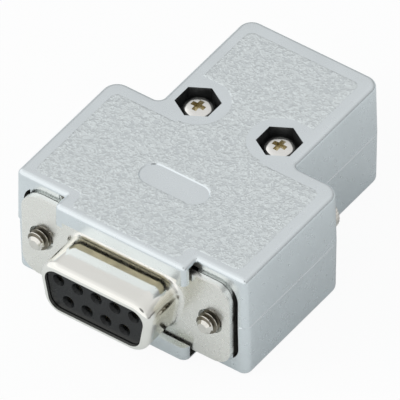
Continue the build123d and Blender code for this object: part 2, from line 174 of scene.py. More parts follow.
class CastingSettings(bpy.types.PropertyGroup):
    """Finish of the two die-cast hood halves."""

    plate: bpy.props.FloatVectorProperty(
        name="Plate colour", description="Colour of the nickel plate on the castings",
        subtype="COLOR", size=3, min=0, max=1, default=(0.81, 0.865, 0.89),
    )
    plate_roughness: bpy.props.FloatProperty(
        name="Border roughness", description="Roughness of the smooth borders and walls",
        subtype="FACTOR", min=0, max=1, default=0.26,
    )
    grain_roughness: bpy.props.FloatProperty(
        name="Grain roughness", description="Roughness of the grained fields",
        subtype="FACTOR", min=0, max=1, default=0.22,
    )
    grain_depth: bpy.props.FloatProperty(
        name="Grain depth", description="Depth of the leather grain",
        subtype="DISTANCE", min=0, default=0.08 * MM,
    )
    grain_size: bpy.props.FloatProperty(
        name="Grain size", description="Size of one cell of the leather grain",
        subtype="DISTANCE", min=0.1 * MM, default=0.54 * MM,
    )
    grain_spacing: bpy.props.FloatProperty(
        name="Grain mesh spacing",
        description="Distance between the points of the grained fields",
        subtype="DISTANCE", min=0.05 * MM, default=0.125 * MM,
    )
    field_depth: bpy.props.FloatProperty(
        name="Field depth", description="How far the grained fields stand above their border",
        subtype="DISTANCE", min=0, default=0.1 * MM,
    )
    recess_depth: bpy.props.FloatProperty(
        name="Recess depth", description="Depth of the oblong recess in the top",
        subtype="DISTANCE", min=0, default=0.25 * MM,
    )
    recess_slope: bpy.props.FloatProperty(
        name="Recess slope", description="Width of the sloping wall of the oblong recess",
        subtype="DISTANCE", min=0, default=0.13 * MM,
    )
    rim_width: bpy.props.FloatProperty(
        name="Rim width",
        description="Width of the soft slope from a grained field down to its border",
        subtype="DISTANCE", min=0, default=0.13 * MM,
    )


class ScrewSettings(bpy.types.PropertyGroup):
    """Sizes of the screws' small forms."""

    jack_pitch: bpy.props.FloatProperty(
        name="Jack screw pitch", description="Pitch of the jack screws' thread",
        subtype="DISTANCE", min=0.1 * MM, default=0.64 * MM,
    )
    jack_crest: bpy.props.FloatProperty(
        name="Jack screw radius", description="Radius at the crest of the jack screws' thread",
        subtype="DISTANCE", default=1.42 * MM,
    )
    jack_root: bpy.props.FloatProperty(
        name="Jack screw root radius", description="Radius at the root of the jack screws' thread",
        subtype="DISTANCE", default=1.03 * MM,
    )
    jack_threaded: bpy.props.FloatProperty(
        name="Jack screw thread length",
        description="Length of the thread from the jack screw's end",
        subtype="DISTANCE", default=6.4 * MM,
    )
    head_length: bpy.props.FloatProperty(
        name="Head length", description="Length of the jack screws' heads",
        subtype="DISTANCE", default=6.8 * MM,
    )
    head_chamfer: bpy.props.FloatProperty(
        name="Head chamfer", description="Chamfer at the ends of the jack screws and their heads",
        subtype="DISTANCE", default=0.35 * MM,
    )
    slot_width: bpy.props.FloatProperty(
        name="Slot width", description="Width of the slot in the jack screws' heads",
        subtype="DISTANCE", default=1.0 * MM,
    )
    slot_depth: bpy.props.FloatProperty(
        name="Slot depth", description="Depth of the slot in the jack screws' heads",
        subtype="DISTANCE", default=1.3 * MM,
    )
    knurl_depth: bpy.props.FloatProperty(
        name="Knurl depth", description="Depth of the straight knurl on the jack screws' heads",
        subtype="DISTANCE", default=0.16 * MM,
    )
    case_pitch: bpy.props.FloatProperty(
        name="Case screw pitch", description="Pitch of the case screws' thread",
        subtype="DISTANCE", min=0.1 * MM, default=0.45 * MM,
    )


class FinishSettings(bpy.types.PropertyGroup):
    """Colours of the small pieces."""

    tin: bpy.props.FloatVectorProperty(
        name="Tin", description="Colour of the tinned sheet of the two shells",
        subtype="COLOR", size=3, min=0, max=1, default=(0.935, 0.93, 0.885),
    )
    plastic: bpy.props.FloatVectorProperty(
        name="Plastic", description="Colour of the two insulators",
        subtype="COLOR", size=3, min=0, max=1, default=(0.007, 0.008, 0.0085),
    )
    gold: bpy.props.FloatVectorProperty(
        name="Gold flash", description="Colour of the nine contacts",
        subtype="COLOR", size=3, min=0, max=1, default=(0.84, 0.77, 0.60),
    )
    nickel: bpy.props.FloatVectorProperty(
        name="Nickel", description="Colour of the jack screws",
        subtype="COLOR", size=3, min=0, max=1, default=(0.80, 0.78, 0.73),
    )
    zinc: bpy.props.FloatVectorProperty(
        name="Zinc", description="Colour of the case screws, nuts, rings and clamp",
        subtype="COLOR", size=3, min=0, max=1, default=(0.87, 0.86, 0.83),
    )


class StageSettings(bpy.types.PropertyGroup):
    """Camera and light."""

    azimuth: bpy.props.FloatProperty(
        name="Azimuth", description="Direction of the camera, from the front towards the right",
        subtype="ANGLE", default=radians(36.212),
    )
    elevation: bpy.props.FloatProperty(
        name="Elevation", description="Height of the camera above the horizon",
        subtype="ANGLE", default=radians(43.730),
    )
    roll: bpy.props.FloatProperty(
        name="Roll", description="Tilt of the camera",
        subtype="ANGLE", default=radians(-0.703),
    )
    distance: bpy.props.FloatProperty(
        name="Distance", description="From the camera to the point it looks at",
        subtype="DISTANCE", default=1808.6 * MM,
    )
    target: bpy.props.FloatVectorProperty(
        name="Target", description="Point that the camera looks at",
        subtype="TRANSLATION", size=3, default=millimetres(0.986, 14.0, 2.738),
    )
    lens: bpy.props.FloatProperty(
        name="Focal length", description="Focal length in millimetres for a 36 mm sensor",
        min=1, default=1351.7,
    )


# Mesh tools

def deselect():
    """Leaves no object selected."""
    bpy.ops.object.select_all(action="DESELECT")


def activate(piece):
    """Makes one object the selected and active one."""
    deselect()
    piece.select_set(True)
    bpy.context.view_layer.objects.active = piece


def added(name):
    """Names the primitive that was just added."""
    piece = bpy.context.object
    piece.name = name
    piece.data.name = name
    return piece


def pick(piece, test):
    """Selects the faces whose centre and normal pass a test, and leaves the piece in edit mode."""
    activate(piece)
    bpy.ops.object.mode_set(mode="EDIT")
    bpy.ops.mesh.select_mode(type="FACE")
    bpy.ops.mesh.select_all(action="DESELECT")
    bpy.ops.object.mode_set(mode="OBJECT")
    for face in piece.data.polygons:
        face.select = test(face.center, face.normal)
    bpy.ops.object.mode_set(mode="EDIT")


def keep_faces(piece, test):
    """Deletes the faces that don't pass a test."""
    pick(piece, test)
    bpy.ops.mesh.select_all(action="INVERT")
    bpy.ops.mesh.delete(type="FACE")
    bpy.ops.object.mode_set(mode="OBJECT")
    return piece


def apply_place(piece):
    """Moves an object's place, turn and scale into its mesh."""
    activate(piece)
    bpy.ops.object.transform_apply(location=True, rotation=True, scale=True)
    return piece


def apply_modifier(piece, kind, **values):
    """Adds a modifier with its values and applies it."""
    activate(piece)
    modifier = piece.modifiers.new(kind.title(), kind)
    for key, value in values.items():
        setattr(modifier, key, value)
    bpy.ops.object.modifier_apply(modifier=modifier.name)
    return piece


def cut(piece, tool, operation="DIFFERENCE", **values):
    """Cuts a piece with a tool, or keeps what they share, and removes the tool."""
    apply_modifier(
        piece, "BOOLEAN", object=tool, operation=operation, solver="EXACT", **values)
    bpy.data.objects.remove(tool)
    return piece


def thicken(piece, depth):
    """Makes a flat piece solid, by a depth along Z."""
    activate(piece)
    bpy.ops.object.mode_set(mode="EDIT")
    bpy.ops.mesh.select_all(action="SELECT")
    bpy.ops.mesh.extrude_region_move(TRANSFORM_OT_translate={"value": (0, 0, depth)})
    bpy.ops.mesh.select_all(action="SELECT")
    bpy.ops.mesh.normals_make_consistent(inside=False)
    bpy.ops.object.mode_set(mode="OBJECT")
    return piece


def join(piece, *others):
    """Joins other objects into a piece."""
    activate(piece)
    for other in others:
        other.select_set(True)
    bpy.ops.object.join()
    return piece


def clean(piece, angle):
    """Welds doubles, turns the faces outwards and smooths all but the sharp edges."""
    activate(piece)
    bpy.ops.object.mode_set(mode="EDIT")
    bpy.ops.mesh.select_all(action="SELECT")
    bpy.ops.mesh.remove_doubles(threshold=WELD)
    bpy.ops.mesh.normals_make_consistent(inside=False)
    bpy.ops.object.mode_set(mode="OBJECT")
    bpy.ops.object.shade_smooth_by_angle(angle=radians(angle))
    return piece


def node_copy(node, name):
    """A copy of a CAD node with its triangles welded and its curved faces smooth."""
    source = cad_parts[node]
    piece = bpy.data.objects.new(name, source.data.copy())
    piece.data.name = name
    piece.data.materials.clear()
    bpy.context.scene.collection.objects.link(piece)
    activate(piece)
    bpy.ops.mesh.customdata_custom_splitnormals_clear()
    bpy.ops.object.mode_set(mode="EDIT")
    bpy.ops.mesh.select_all(action="SELECT")
    bpy.ops.mesh.remove_doubles(threshold=WELD)
    bpy.ops.object.mode_set(mode="OBJECT")
    bpy.ops.object.shade_smooth_by_angle(angle=radians(SMOOTH_FORMED))
    return piece


def paint(piece, material, test):
    """Gives another finish to the faces whose centre passes a test."""
    piece.data.materials.append(material)
    number = len(piece.data.materials) - 1
    for face in piece.data.polygons:
        if test(face.center):
            face.material_index = number
    return piece


def dress(piece, body, slot, material, *nodes):
    """Gives a finished piece its finish and its body, and hides the CAD nodes it stands for."""
    piece.data.materials.clear()
    piece.data.materials.append(material)
    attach(piece, body)
    if nodes:
        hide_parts(*nodes)
    return piece


# Materials

class Patterns:
    """A node tree to which nodes are added by short calls."""

    def __init__(self, tree):
        self.tree = tree

    def fill(self, socket, value):
        """Puts a link or a plain value on a socket."""
        if isinstance(value, bpy.types.NodeSocket):
            self.tree.links.new(value, socket)
        else:
            socket.default_value = value

    def node(self, kind, **inputs):
        """Adds a node with values or links on its named inputs."""
        made = self.tree.nodes.new(kind)
        for key, value in inputs.items():
            self.fill(made.inputs[key.replace("_", " ")], value)
        return made

    def maths(self, operation, *values):
        """A maths node on sockets or numbers."""
        made = self.tree.nodes.new("ShaderNodeMath")
        made.operation = operation
        for socket, value in zip(made.inputs, values):
            self.fill(socket, value)
        return made.outputs[0]

    def sum(self, first, *others):
        """Several patterns added up."""
        for other in others:
            first = self.maths("ADD", first, other)
        return first

    def remap(self, value, low, high, to_low=0.0, to_high=1.0, kind="LINEAR"):
        """A value from one range to another, clamped."""
        made = self.node(
            "ShaderNodeMapRange", Value=value, From_Min=low, From_Max=high,
            To_Min=to_low, To_Max=to_high,
        )
        made.interpolation_type = kind
        return made.outputs["Result"]

    def mix(self, factor, first, second):
        """A blend of two colours by a pattern."""
        made = self.tree.nodes.new("ShaderNodeMix")
        made.data_type = "RGBA"
        for key, value in (("Factor", factor), ("A", first), ("B", second)):
            self.fill(made.inputs[key], value)
        return made.outputs["Result"]


def shade(colour, factor):
    """A colour made lighter or darker."""
    return tuple(min(1.0, c * factor) for c in colour)


class Finish(Patterns):
    """A procedural metal or plastic, patterned in Object coordinates."""

    def __init__(self, name, colour, roughness, metallic=1.0):
        self.material = bpy.data.materials.new(name)
        self.material.use_nodes = True
        super().__init__(self.material.node_tree)
        self.colour = colour
        self.shader = self.tree.nodes["Principled BSDF"]
        self.shader.inputs["Base Color"].default_value = (*colour, 1)
        self.shader.inputs["Roughness"].default_value = roughness
        self.shader.inputs["Metallic"].default_value = metallic
        self.place = self.tree.nodes.new("ShaderNodeTexCoord").outputs["Object"]
        self.normal = None

    def noise(self, cells, detail, stretch=(1, 1, 1), distortion=0.0):
        """Noise of a number of cells a metre, of some octaves, stretched along an axis."""
        place = self.node("ShaderNodeMapping", Vector=self.place, Scale=stretch)
        return self.node(
            "ShaderNodeTexNoise", Vector=place.outputs[0], Scale=cells, Detail=detail,
            Distortion=distortion,
        ).outputs["Fac"]

    def fold(self, value, width):
        """A ridge along the line where a noise crosses its middle value."""
        off = self.maths("ABSOLUTE", self.maths("SUBTRACT", value, 0.5))
        return self.remap(off, 0, width, 1, 0, "SMOOTHSTEP")

    def bump(self, height, distance, strength=1.0):
        """Adds relief of a given depth in metres."""
        made = self.node("ShaderNodeBump", Height=height, Distance=distance, Strength=strength)
        if self.normal:
            self.tree.links.new(self.normal, made.inputs["Normal"])
        self.normal = made.outputs["Normal"]
        self.vary("Normal", self.normal)

    def vary(self, name, value):
        """Lets a pattern drive one of the shader's inputs."""
        self.tree.links.new(value, self.shader.inputs[name])

    def tint(self, factor, first, second):
        """Mixes two colours by a pattern into the base colour."""
        self.vary("Base Color", self.mix(factor, (*first, 1), (*second, 1)))

    def mottle(self, cells, detail, dark, light):
        """Clouds the base colour between a darker and a lighter shade of it."""
        cloud = self.remap(self.noise(cells, detail), *CLOUD)
        self.tint(cloud, shade(self.colour, dark), shade(self.colour, light))

    def wander(self, cells, detail, levels, low, high):
        """Lets the roughness wander between two values."""
        self.vary("Roughness", self.remap(self.noise(cells, detail), *levels, low, high))


def plated_casting(settings):
    """Smooth nickel plate over a casting, with the faint unevenness of die-cast metal."""
    roughness = settings.plate_roughness
    finish = Finish("plated_casting", settings.plate, roughness)
    finish.mottle(cells=220, detail=4, dark=0.975, light=1.02)
    finish.wander(900, 3, SPECKLE, low=roughness * 0.96, high=roughness * 1.06)
    finish.bump(finish.noise(cells=700, detail=2), 0.0006 * MM)
    return finish.material


def grained_casting(settings):
    """Plate over the leather grain: bright, smoother ridges as a painted highlight, duller pits as
    a painted shade, and wide soft patches.
    """
    roughness = settings.grain_roughness
    finish = Finish("grained_casting", settings.plate, roughness)
    field = finish.noise(cells=1 / settings.grain_size, detail=1, distortion=0.9)
    ridge = finish.fold(field, width=0.10)
    patches = finish.noise(cells=0.16 / settings.grain_size, detail=2)
    # Painted highlight on the ridges and painted shade in the pits, with uneven tone from the field
    # and the patches
    shine_and_tone = finish.sum(
        finish.remap(ridge, 0, 1, 0.35, 0.75),
        finish.remap(field, *CLOUD, -0.25, 0.25),
        finish.remap(patches, *CLOUD, -0.025, 0.025),
    )
    finish.tint(shine_and_tone, shade(settings.plate, 0.86), shade(settings.plate, 1.15))
    finish.vary("Roughness", finish.remap(ridge, 0, 1, roughness * 1.2, roughness * 0.9))
    finish.bump(ridge, 0.03 * MM, strength=0.9)
    return finish.material


def painted_shade_casting(name, colour):
    """Dull cast zinc, in a colour that paints the shade inside the hood and under its lip."""
    finish = Finish(name, colour, 0.5, metallic=0.7)
    finish.mottle(cells=500, detail=4, dark=0.85, light=1.1)
    finish.wander(900, 3, CLOUD, low=0.42, high=0.6)
    return finish.material


def pocket_shade():
    """Walls of the screw pockets, darkened as a painted shade."""
    finish = Finish("pocket_shade", POCKET_SHADE_ZINC, 0.34, metallic=0.8)
    finish.mottle(cells=700, detail=4, dark=0.6, light=1.6)
    finish.wander(900, 3, CLOUD, low=0.28, high=0.45)
    return finish.material


def tinned_sheet(colour):
    """Bright drawn sheet with faint rolling marks, duller on the flange, and with painted shade
    browning its flanks.
    """
    finish = Finish("tinned_sheet", colour, 0.2)
    streaks = finish.noise(cells=500, detail=3, stretch=(0.25, 1, 1))
    axes = finish.node("ShaderNodeSeparateXYZ", Vector=finish.place).outputs
    # Painted shade: the tube's sloping flanks are tinted a darker brown
    leaning = finish.maths("MULTIPLY", axes["Z"], -SHELL_LEAN)
    across = finish.sum(finish.maths("ABSOLUTE", axes["X"]), leaning)
    flank = finish.remap(across, *FLANK_ACROSS, 0, 0.9)
    for span, ends in ((FLANK_FRONT, (0, 1)), (FLANK_BACK, (1, 0))):
        flank = finish.maths("MULTIPLY", flank, finish.remap(axes["Y"], *span, *ends))
    flank = finish.sum(flank, finish.remap(streaks, *CLOUD, 0, 0.1))
    finish.tint(flank, shade(colour, 1.01), FLANK_SHADE_TIN)
    drawn = finish.remap(axes["Y"], *DRAWN_ALONG, *DRAWN_ROUGHNESS)
    uneven = finish.remap(finish.noise(cells=800, detail=3), *SPECKLE, 0.8, 1.2)
    finish.vary("Roughness", finish.maths("MULTIPLY", drawn, uneven))
    finish.bump(streaks, 0.0015 * MM)
    return finish.material


def charcoal_moulding(colour):
    """Dark moulded plastic with a fine spark-eroded tooth."""
    finish = Finish("charcoal_moulding", colour, 0.3, metallic=0.0)
    finish.shader.inputs["Specular IOR Level"].default_value = 0.34
    finish.mottle(cells=600, detail=4, dark=0.85, light=1.2)
    finish.wander(1500, 2, CLOUD, low=0.26, high=0.36)
    finish.bump(finish.noise(cells=5000, detail=2), 0.004 * MM)
    return finish.material


def turned_metal(name, colour, roughness, rings):
    """Turned or rolled metal with a number of fine tool marks a metre."""
    finish = Finish(name, colour, roughness)
    finish.mottle(cells=400, detail=3, dark=0.93, light=1.04)
    finish.wander(rings, 2, SPECKLE, low=roughness * 0.8, high=roughness * 1.3)
    finish.bump(finish.noise(cells=rings, detail=2), 0.003 * MM)
    return finish.material


# Castings

def bisected(piece, height, keep_above):
    """Cuts a piece flat across at a height and keeps the part above or below it, closed."""
    activate(piece)
    bpy.ops.object.mode_set(mode="EDIT")
    bpy.ops.mesh.select_all(action="SELECT")
    bpy.ops.mesh.bisect(
        plane_co=(0, 0, height), plane_no=(0, 0, 1), use_fill=True,
        clear_inner=keep_above, clear_outer=not keep_above, threshold=WELD / 10,
    )
    bpy.ops.object.mode_set(mode="OBJECT")
    return piece


def grain_texture(settings):
    """The leather grain: raised cells with creases between them."""
    texture = bpy.data.textures.new("leather_grain", "CLOUDS")
    texture.noise_scale = settings.grain_size
    texture.noise_type = "SOFT_NOISE"
    texture.noise_depth = 1
    return texture


def fine_slab(settings, name, level, up):
    """A thin slab, larger than the hood, with an outer side fine enough for the grain."""
    length = HOOD_HIGH.y - HOOD_LOW.y
    width = HOOD_HIGH.x - HOOD_LOW.x
    deselect()
    bpy.ops.mesh.primitive_grid_add(
        x_subdivisions=round(width / settings.grain_spacing),
        y_subdivisions=round(length / settings.grain_spacing),
        size=1, location=(0, (HOOD_LOW.y + HOOD_HIGH.y) / 2, level),
    )
    slab = added(name)
    slab.scale = (width * SLAB_SIZE, length * SLAB_SIZE, 1)
    return thicken(apply_place(slab), -up * settings.field_depth)


def field_prism(settings, node, level, up):
    """A casting's raised field, as a thin closed prism that passes through a level."""
    face = level + up * settings.field_depth
    prism = node_copy(node, node + "_field")
    near = 2 * WELD + SINK
    keep_faces(
        prism, lambda centre, normal: normal.z * up > FLAT and abs(centre.z - level) < near)
    prism.location.z = face - level
    return thicken(apply_place(prism), -up * PRISM_SHARE * settings.field_depth)


def weigh_rim(sheet, width):
    """Weights a sheet: full inside, and falling smoothly to nothing at its open edge."""
    uses = Counter(key for face in sheet.data.polygons for key in face.edge_keys)
    edge = {vertex for key, count in uses.items() if count == 1 for vertex in key}
    tree = KDTree(len(edge))
    for index in edge:
        tree.insert(sheet.data.vertices[index].co, index)
    tree.balance()
    inside = sheet.vertex_groups.new(name="inside")
    rim = sheet.vertex_groups.new(name="rim")
    for vertex in sheet.data.vertices:
        share = min(1.0, tree.find(vertex.co)[2] / width)
        share = share * share * (3 - 2 * share)
        inside.add([vertex.index], share, "REPLACE")
        rim.add([vertex.index], 1 - share, "REPLACE")


def make_grain(settings, node, name, level, up):
    """Cuts a fine sheet to a field's outline, presses the grain into it and slopes its rim."""
    slab, prism = fine_slab(settings, name, level, up), field_prism(settings, node, level, up)
    sheet = cut(slab, prism, "INTERSECT")
    keep_faces(
        sheet, lambda centre, normal: normal.z * up > FLAT and abs(centre.z - level) < WELD)
    weigh_rim(sheet, settings.rim_width)
    apply_modifier(
        sheet, "DISPLACE", texture=grain_texture(settings), texture_coords="LOCAL", direction="Z",
        strength=up * settings.grain_depth, mid_level=1.0, vertex_group="inside",
    )
    apply_modifier(
        sheet, "DISPLACE", direction="Z", strength=-up * settings.field_depth * RIM_SHARE,
        mid_level=0.0, vertex_group="rim",
    )
    activate(sheet)
    bpy.ops.object.mode_set(mode="EDIT")
    bpy.ops.mesh.select_mode(type="EDGE")
    bpy.ops.mesh.select_all(action="DESELECT")
    bpy.ops.mesh.select_non_manifold(extend=False)
    skirt = (0, 0, -up * settings.field_depth)
    bpy.ops.mesh.extrude_region_move(TRANSFORM_OT_translate={"value": skirt})
    bpy.ops.mesh.select_mode(type="VERT")
    bpy.ops.object.mode_set(mode="OBJECT")
    bpy.ops.object.shade_smooth_by_angle(angle=radians(SMOOTH_GRAIN))
    return sheet


def in_rooms(place, rooms):
    """Whether a place is in one of several boxes, or on its walls."""
    return any(
        abs(place.x) < half_width and front < place.y < back and bottom < place.z < top
        for half_width, front, back, bottom, top in rooms
    )


def inside_pocket(place):
    """Whether a place is on the walls of a case screw's pocket or a nut's."""
    from_axis = Vector((abs(place.x) - CASE_X, place.y - CASE_Y)).length
    return from_axis < POCKET_RADIUS and abs(place.z) < HOOD_HIGH.z - POCKET_RIM


def slope_recess(piece, face, depth, slope):
    """Draws the floor of the oblong recess inwards, so that its wall becomes a slope."""
    pick(piece, lambda centre, normal: normal.z > FLAT and abs(centre.z - face + depth) < WELD)
    floor = [v.co.copy() for v in piece.data.vertices if abs(v.co.z - face + depth) < WELD]
    low = Vector([min(v[i] for v in floor) for i in range(3)])
    high = Vector([max(v[i] for v in floor) for i in range(3)])
    size = high - low
    bpy.ops.transform.resize(
        value=(1 - 2 * slope / size.x, 1 - 2 * slope / size.y, 1),
        center_override=(low + high) / 2,
    )
    bpy.ops.object.mode_set(mode="OBJECT")
    return piece


class CONNECTOR_OT_castings(bpy.types.Operator):
    """Makes the two hood halves with their smooth borders and grained fields."""

    bl_idname = "connector.castings"
    bl_label = "Hood castings"

    def execute(self, context):
        settings = context.scene.connector_casting
        smooth = plated_casting(settings)
        grained = grained_casting(settings)
        inner = painted_shade_casting("inner_shade_casting", INNER_SHADE_ZINC)
        lip_shade = painted_shade_casting("lip_shade_casting", LIP_SHADE_ZINC)
        pocket = pocket_shade()
        for node, up in (("upper_hood", 1), ("lower_hood", -1)):
            face = HOOD_HIGH.z if up > 0 else BASE_LOW.z
            level = face - up * settings.field_depth * CUT_SHARE
            shell = bisected(node_copy(node, node + "_casting"), level, keep_above=up < 0)
            field = make_grain(settings, node, node + "_grain", face - up * SINK, up)
            if up > 0:
                slope_recess(shell, face, settings.recess_depth, settings.recess_slope)
            activate(shell)
            bpy.ops.object.shade_smooth_by_angle(angle=radians(SMOOTH_FORMED))
            dress(shell, "hood", "hood_metal", smooth, node)
            # Painted shade: darker colours on the walls inside the hood, under the lip and in the
            # pockets
            paint(shell, inner, lambda centre: in_rooms(centre, ROOMS))
            paint(shell, lip_shade, lambda centre: in_rooms(centre, LIP_UNDERSIDE))
            paint(shell, pocket, inside_pocket)
            dress(field, "hood", "hood_metal", grained)
        return {"FINISHED"}


# Sheet-metal shells, insulators and contacts

class CONNECTOR_OT_shells(bpy.types.Operator):
    """Makes the two drawn shells."""

    bl_idname = "connector.shells"
    bl_label = "Drawn shells"

    def execute(self, context):
        sheet = tinned_sheet(context.scene.connector_finish.tin)
        for node in ("front_shell", "rear_shell"):
            dress(node_copy(node, node + "_sheet"), "hood", "shell_plate", sheet, node)
        return {"FINISHED"}


class CONNECTOR_OT_insulators(bpy.types.Operator):
    """Makes the moulded insulator halves and the nine socket contacts in them."""

    bl_idname = "connector.insulators"
    bl_label = "Insulators and contacts"

    def execute(self, context):
        colours = context.scene.connector_finish
        plastic = charcoal_moulding(colours.plastic)
        gold = turned_metal("gold_flash", colours.gold, roughness=0.2, rings=1500)
        for node in ("front_insulator", "rear_insulator"):
            dress(node_copy(node, node + "_moulding"), "hood", "insulator_plastic", plastic, node)
        for node in sorted(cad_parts):
            if node.startswith("socket_contact"):
                dress(node_copy(node, node + "_turned"), "hood", "contact_gold", gold, node)
        return {"FINISHED"}


# Screws

def turned(name, profile, x=0.0, sides=ROUND_SIDES):
    """A solid of revolution about a line along Y: a disc extruded and resized ring by ring."""
    y, radius = profile[0]
    deselect()
    bpy.ops.mesh.primitive_circle_add(
        vertices=sides, radius=radius, fill_type="NGON", location=(x, y, 0),
        rotation=(pi / 2, 0, 0),
    )
    piece = apply_place(added(name))
    bpy.ops.object.mode_set(mode="EDIT")
    bpy.ops.mesh.select_all(action="SELECT")
    for next_y, next_radius in profile[1:]:
        bpy.ops.mesh.extrude_region_move(TRANSFORM_OT_translate={"value": (0, next_y - y, 0)})
        scale = next_radius / radius
        bpy.ops.transform.resize(value=(scale, 1, scale), center_override=(x, next_y, 0))
        y, radius = next_y, next_radius
    bpy.ops.mesh.select_all(action="SELECT")
    bpy.ops.mesh.normals_make_consistent(inside=False)
    bpy.ops.object.mode_set(mode="OBJECT")
    return piece


def knurl(piece, x, front, back, sides, depth):
    """Presses in every other corner of a turned band: a straight knurl."""
    for vertex in piece.data.vertices:
        across = Vector((vertex.co.x - x, vertex.co.z))
        step = round(atan2(across.y, across.x) * sides / (2 * pi))
        if step % 2 and front - WELD < vertex.co.y < back + WELD:
            vertex.co.x -= depth * across.x / across.length
            vertex.co.z -= depth * across.y / across.length
    return piece


def stand_up(piece, x, y):
    """Turns a piece made along Y to stand along Z at a place."""
    piece.rotation_euler = (pi / 2, 0, 0)
    piece.location = (x, y, 0)
    return apply_place(piece)


def box_tool(name, low, high, taper=(1, 1)):
    """A box between two corners, narrowed towards its bottom, to cut with."""
    low, high = Vector(low), Vector(high)
    deselect()
    bpy.ops.mesh.primitive_cube_add(size=1, location=(low + high) / 2)
    tool = added(name)
    tool.scale = high - low
    apply_place(tool)
    pick(tool, lambda centre, normal: normal.z < -FLAT)
    bpy.ops.transform.resize(
        value=(*taper, 1), center_override=((low.x + high.x) / 2, (low.y + high.y) / 2, low.z),
    )
    bpy.ops.object.mode_set(mode="OBJECT")
    return tool


def thread_ridge(name, x, front, length, pitch, crest, root):
    """The raised helix of a thread: a tapered tooth swept round the screw, run out at both ends."""
    deselect()
    bpy.ops.mesh.primitive_plane_add(size=1, location=((crest + root - TOOTH_SUNK) / 2, 0, 0))
    ridge = added(name)
    ridge.scale = (crest - root + TOOTH_SUNK, pitch * TOOTH_ROOT, 1)
    apply_place(ridge)
    for vertex in ridge.data.vertices:
        if vertex.co.x > (crest + root) / 2:
            vertex.co.y *= TOOTH_CREST
    apply_modifier(
        ridge, "SCREW", axis="Y", screw_offset=-pitch, iterations=int(length / pitch),
        steps=TOOTH_STEPS, render_steps=TOOTH_STEPS, angle=2 * pi, use_smooth_shade=True,
    )
    bpy.ops.object.mode_set(mode="EDIT")
    bpy.ops.mesh.select_mode(type="VERT")
    bpy.ops.mesh.select_all(action="DESELECT")
    bpy.ops.mesh.select_non_manifold(extend=False)
    bpy.ops.mesh.fill_holes(sides=0)
    bpy.ops.object.mode_set(mode="OBJECT")
    low = min(v.co.y for v in ridge.data.vertices)
    high = max(v.co.y for v in ridge.data.vertices)
    for vertex in ridge.data.vertices:
        radius = (vertex.co.x ** 2 + vertex.co.z ** 2) ** 0.5
        end = min(vertex.co.y - low, high - vertex.co.y)
        keep = min(1.0, end / (TOOTH_RUNOUT * pitch))
        if radius > root:
            scale = (root + (radius - root) * keep) / radius
            vertex.co.x *= scale
            vertex.co.z *= scale
        vertex.co.x += x
        vertex.co.y += front - low
    return ridge


def jack_profile(settings):
    """The jack screw from its tip to the back of its head, as (place, radius) pairs."""
    shank, root = settings.jack_crest, settings.jack_root
    tip, back = SCREW_LOW.y, SCREW_HIGH.y
    shoulder = back - settings.head_length
    thread_end = tip + settings.jack_threaded
    edge = settings.head_chamfer
    outer = (SCREW_HIGH.x - SCREW_LOW.x) / 2
    return (
        (tip, root - edge), (tip + edge, root), (thread_end, root), (thread_end + edge, shank),
        (RING_LOW.y - RING_PLAY, shank), (RING_LOW.y - RING_PLAY, RING_BORE),
        (RING_HIGH.y + RING_PLAY, RING_BORE), (RING_HIGH.y + RING_PLAY, shank), (shoulder, shank),
        (shoulder, outer - edge), (shoulder + edge, outer),
        (back - edge, outer), (back, outer - edge),
    )


def in_groove(place, x, settings):
    """Whether a place is in the groove of a jack screw's thread."""
    off_axis = Vector((place.x - x, place.z)).length
    depth = settings.jack_crest - settings.jack_root
    front = SCREW_LOW.y + settings.head_chamfer
    threaded = front < place.y < front + settings.jack_threaded
    return threaded and off_axis < settings.jack_root + GROOVE_DARK_SHARE * depth


class CONNECTOR_OT_jack_screws(bpy.types.Operator):
    """Makes the two captive jack screws: threaded end, plain neck, knurled and slotted head."""

    bl_idname = "connector.jack_screws"
    bl_label = "Jack screws"

    def execute(self, context):
        settings = context.scene.connector_screws
        colour = context.scene.connector_finish.nickel
        plate = turned_metal("nickel_screw", colour, roughness=0.18, rings=1200)
        groove = turned_metal("thread_groove", GROOVE_DARK, roughness=0.35, rings=1200)
        profile = jack_profile(settings)
        back, edge = SCREW_HIGH.y, settings.head_chamfer
        for side, sign in SIDES.items():
            node = "jack_screw_" + side
            x = sign * JACK_X
            piece = turned(node + "_turned", profile, x, KNURL_SIDES)
            knurl(
                piece, x, back - settings.head_length + edge, back - edge, KNURL_SIDES,
                settings.knurl_depth)
            half, reach = settings.slot_width / 2, SCREW_HIGH.z * SLOT_REACH
            cut(piece, box_tool(
                node + "_slot", (x - half, back - settings.slot_depth, -reach),
                (x + half, back + reach, reach)))
            ridge = thread_ridge(
                node + "_thread", x, SCREW_LOW.y + edge / 2, settings.jack_threaded,
                settings.jack_pitch, settings.jack_crest, settings.jack_root)
            clean(join(piece, ridge), SMOOTH_JACK)
            dress(piece, side + "_jack_screw", "jack_plate", plate, node)
            # The threads' grooves take a darker colour
            paint(piece, groove, lambda centre: in_groove(centre, x, settings))
        return {"FINISHED"}


